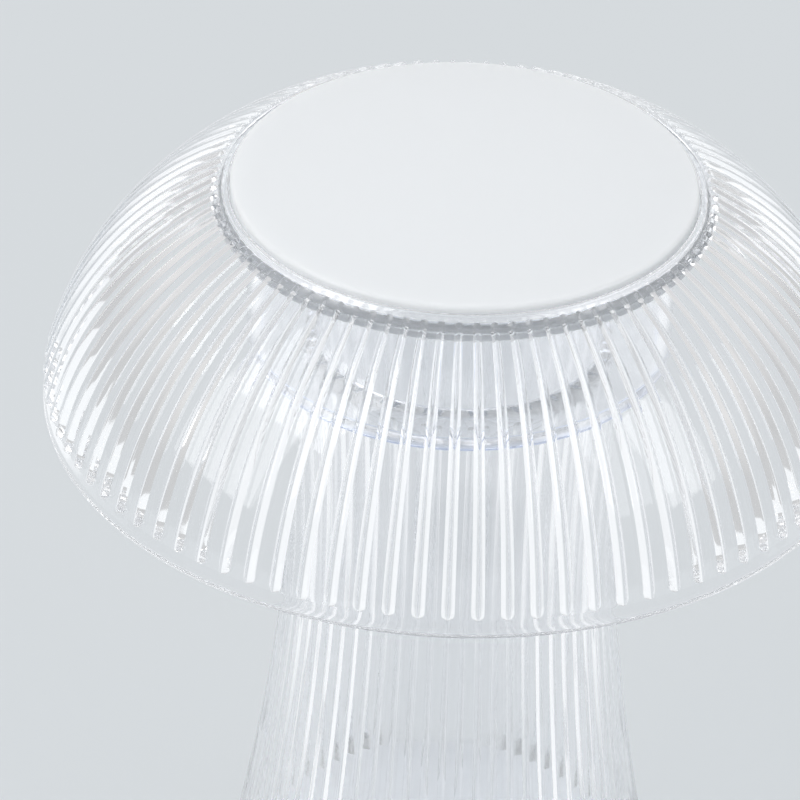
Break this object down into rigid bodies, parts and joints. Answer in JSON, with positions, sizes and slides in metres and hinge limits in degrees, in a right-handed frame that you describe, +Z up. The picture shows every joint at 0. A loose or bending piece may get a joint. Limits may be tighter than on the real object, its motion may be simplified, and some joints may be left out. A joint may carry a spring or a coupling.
{
  "type": "mushroom table lamp",
  "caption": "Table lamp with a clear ribbed dome shade, a white top disc and a flared clear ribbed stem on a round white base.",
  "frame": {"origin": "centre of the resting plane under the rubber pad", "axes": "+Z up along the lamp's axis, +Y towards the side of the base with the charging socket and the power button"},
  "size_m": [0.174, 0.174, 0.212],
  "materials": {
    "clear_plastic": "polished clear",
    "white_disc": "satin white",
    "opal_plastic": "opal",
    "led_board": "white solder mask",
    "led_phosphor": "yellow phosphor",
    "white_plastic": "fine satin",
    "rubber": "matt",
    "steel": "plated",
    "black_plastic": "matt",
    "battery_foil": "foil pouch",
    "foam": "open cell",
    "circuit_board": "solder mask"
  },
  "bodies": {
    "lamp": {"shade_dome": "clear_plastic", "shade_cup": "clear_plastic", "stem_body": "clear_plastic", "top_disc": "white_disc", "led_diffuser": "opal_plastic", "led_board": "led_board", "led_emitters": "led_phosphor", "base_housing": "white_plastic", "base_cover": "white_plastic", "base_pad": "rubber", "base_screws": "steel", "ballast_plate": "steel", "battery_tray": "black_plastic", "battery_cell": "battery_foil", "battery_foam": "foam", "control_board": "circuit_board", "control_chip": "black_plastic", "battery_plug_socket": "white_plastic", "charging_socket_shell": "steel", "charging_socket_tongue": "black_plastic", "button_switch": "black_plastic"},
    "button": {"power_button": "white_plastic", "switch_plunger": "black_plastic"}
  },
  "joints": [
    {"name": "button_press", "type": "slide", "parent": "lamp", "child": "button", "axis": [0, -1, 0], "range_m": [0, 0.0007], "stiffness_N_per_m": 1200, "springref_m": -0.0004}
  ]
}
